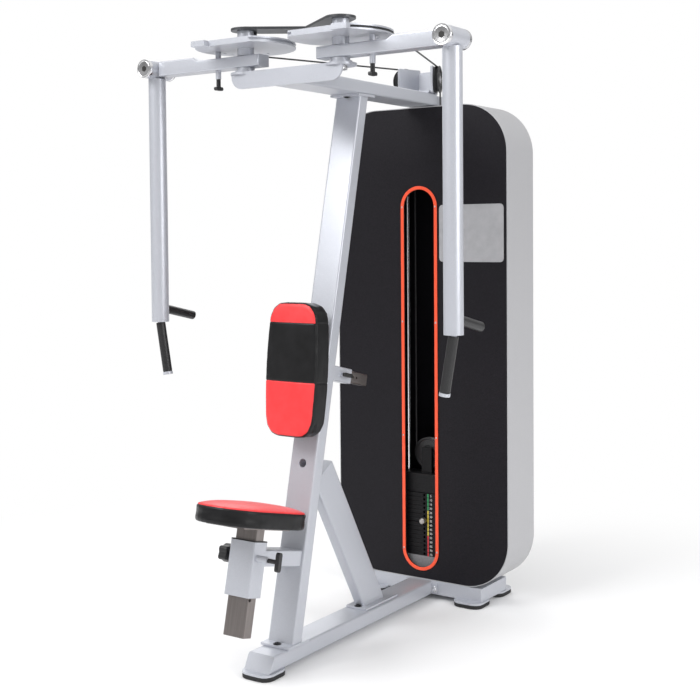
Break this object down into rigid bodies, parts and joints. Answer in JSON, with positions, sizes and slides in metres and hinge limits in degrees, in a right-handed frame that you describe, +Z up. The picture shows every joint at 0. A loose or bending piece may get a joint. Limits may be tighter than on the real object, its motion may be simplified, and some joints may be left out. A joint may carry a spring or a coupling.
{
  "type": "pec deck machine",
  "caption": "Pec deck machine: two swinging arms with hanging handles lift a weight stack in a rounded tower, with a height-adjustable seat and a sliding back pad.",
  "frame": {"origin": "on the floor under the middle of the whole machine's box", "axes": "+X across the machine to the sitter's left, +Y from the seat towards the weight tower, +Z up"},
  "size_m": [1.227, 1.464, 2.0506],
  "materials": {
    "frame_paint": "satin silver-grey metallic powder coat",
    "band_paint": "satin light silver powder coat",
    "panel_paint": "black textured powder coat",
    "trim_paint": "orange-red moulded trim",
    "placard_film": "plain grey film",
    "red_vinyl": "red and black leatherette",
    "foot_rubber": "black moulded rubber",
    "grip_rubber": "black soft rubber",
    "black_plastic": "black moulded plastic",
    "cable_jacket": "black nylon jacket over steel wire",
    "bare_steel": "zinc-plated steel",
    "chrome": "polished chrome",
    "dark_steel": "dark grey satin",
    "plate_paint": "black satin paint"
  },
  "bodies": {
    "frame": {"base_beam": "frame_paint", "front_foot": "foot_rubber", "upright": "frame_paint", "brace": "frame_paint", "top_beam": "frame_paint", "yoke": "frame_paint", "link_plate": "dark_steel", "left_axle": "bare_steel", "right_axle": "bare_steel", "tower_base": "frame_paint", "tower_foot_front_left": "foot_rubber", "tower_foot_front_right": "foot_rubber", "tower_foot_rear_left": "foot_rubber", "tower_foot_rear_right": "foot_rubber", "tower_column": "frame_paint", "housing_band": "band_paint", "front_panel": "panel_paint", "rear_panel": "panel_paint", "slot_trim": "trim_paint", "placard": "placard_film", "stack_plinth": "foot_rubber", "lower_plates": "plate_paint", "left_guide_rod": "chrome", "right_guide_rod": "chrome", "pulley_bracket": "frame_paint", "left_cable": "cable_jacket", "right_cable": "cable_jacket", "seat_sleeve": "frame_paint", "sleeve_liner": "black_plastic", "pad_sleeve": "frame_paint"},
    "stack": {"selected_plates": "plate_paint", "head_plate": "plate_paint", "cable_loop": "cable_jacket", "left_cable_drop": "cable_jacket", "right_cable_drop": "cable_jacket"},
    "floating_pulley": {"floating_pulley": "black_plastic"},
    "selector_pin": {"selector_pin": "chrome"},
    "left_top_pulley": {"left_top_pulley": "black_plastic"},
    "left_cam": {"left_cam": "frame_paint"},
    "left_arm": {"left_arm": "frame_paint", "left_swivel_axle": "chrome"},
    "left_arm_pin": {"left_arm_pin": "black_plastic"},
    "left_handle": {"left_handle": "frame_paint", "left_down_grip": "grip_rubber", "left_rear_grip": "grip_rubber"},
    "right_top_pulley": {"right_top_pulley": "black_plastic"},
    "right_cam": {"right_cam": "frame_paint"},
    "right_arm": {"right_arm": "frame_paint", "right_swivel_axle": "chrome"},
    "right_arm_pin": {"right_arm_pin": "black_plastic"},
    "right_handle": {"right_handle": "frame_paint", "right_down_grip": "grip_rubber", "right_rear_grip": "grip_rubber"},
    "seat": {"seat_post": "bare_steel", "seat_pad": "red_vinyl"},
    "seat_pin": {"seat_pin": "black_plastic"},
    "star_knob": {"star_knob": "black_plastic"},
    "pad": {"pad_tube": "bare_steel", "back_pad": "red_vinyl"},
    "pad_pin": {"pad_pin": "black_plastic"}
  },
  "joints": [
    {"name": "left_arm_swing", "type": "hinge", "parent": "frame", "child": "left_cam", "pos_m": [-0.1885, -0.30248, 1.95], "axis": [0, 0, 1], "range_deg": [0, 105]},
    {"name": "left_arm_index", "type": "hinge", "parent": "left_cam", "child": "left_arm", "pos_m": [-0.1885, -0.30248, 1.94], "axis": [0, 0, -1], "range_deg": [0, 90]},
    {"name": "left_arm_pin_pull", "type": "slide", "parent": "left_arm", "child": "left_arm_pin", "axis": [0, 0, -1], "range_m": [0, 0.018], "stiffness_N_per_m": 500, "springref_m": -0.01},
    {"name": "left_handle_swivel", "type": "hinge", "parent": "left_arm", "child": "left_handle", "pos_m": [-0.582, -0.30248, 1.942], "axis": [0, 1, 0], "range_deg": [-10, 10]},
    {"name": "left_top_pulley_spin", "type": "hinge", "parent": "frame", "child": "left_top_pulley", "pos_m": [-0.07147, 0.50119, 1.942], "axis": [0.9418, -0.3362, 0], "range_deg": [0, 366]},
    {"name": "right_arm_swing", "type": "hinge", "parent": "frame", "child": "right_cam", "pos_m": [0.1885, -0.30248, 1.95], "axis": [0, 0, -1], "range_deg": [0, 105]},
    {"name": "right_arm_index", "type": "hinge", "parent": "right_cam", "child": "right_arm", "pos_m": [0.1885, -0.30248, 1.94], "axis": [0, 0, 1], "range_deg": [0, 90]},
    {"name": "right_arm_pin_pull", "type": "slide", "parent": "right_arm", "child": "right_arm_pin", "axis": [0, 0, -1], "range_m": [0, 0.018], "stiffness_N_per_m": 500, "springref_m": -0.01},
    {"name": "right_handle_swivel", "type": "hinge", "parent": "right_arm", "child": "right_handle", "pos_m": [0.582, -0.30248, 1.942], "axis": [0, 1, 0], "range_deg": [-10, 10]},
    {"name": "right_top_pulley_spin", "type": "hinge", "parent": "frame", "child": "right_top_pulley", "pos_m": [0.07147, 0.50119, 1.942], "axis": [0.9418, 0.3362, 0], "range_deg": [0, 366]},
    {"name": "stack_lift", "type": "slide", "parent": "frame", "child": "stack", "axis": [0, 0, 1], "range_m": [0, 0.294], "deforming": ["left_cable_drop", "right_cable_drop"]},
    {"name": "floating_pulley_spin", "type": "hinge", "parent": "stack", "child": "floating_pulley", "pos_m": [0, 0.54452, 0.5389], "axis": [0, 1, 0], "continuous": true},
    {"name": "selector_pin_pull", "type": "slide", "parent": "stack", "child": "selector_pin", "axis": [0, -1, 0], "range_m": [0, 0.056]},
    {"name": "seat_height", "type": "slide", "parent": "frame", "child": "seat", "axis": [0, 0.2261, 0.9741], "range_m": [-0.025, 0.125]},
    {"name": "seat_pin_pull", "type": "slide", "parent": "frame", "child": "seat_pin", "axis": [1, 0, 0], "range_m": [0, 0.012], "stiffness_N_per_m": 500, "springref_m": -0.01},
    {"name": "star_knob_turn", "type": "hinge", "parent": "frame", "child": "star_knob", "pos_m": [-0.075, -0.55472, 0.39085], "axis": [1, 0, 0], "range_deg": [-180, 180]},
    {"name": "pad_depth", "type": "slide", "parent": "frame", "child": "pad", "axis": [0, -0.9741, 0.2261], "range_m": [-0.02, 0.1]},
    {"name": "pad_pin_pull", "type": "slide", "parent": "frame", "child": "pad_pin", "axis": [1, 0, 0], "range_m": [0, 0.01], "stiffness_N_per_m": 500, "springref_m": -0.01}
  ],
  "couplings": [
    {"joint": "right_arm_swing", "follows": "left_arm_swing", "ratio": 1},
    {"joint": "stack_lift", "follows": "left_arm_swing", "m_per_rad": 0.16},
    {"joint": "left_top_pulley_spin", "follows": "left_arm_swing", "ratio": 3.4783},
    {"joint": "right_top_pulley_spin", "follows": "left_arm_swing", "ratio": 3.4783}
  ]
}
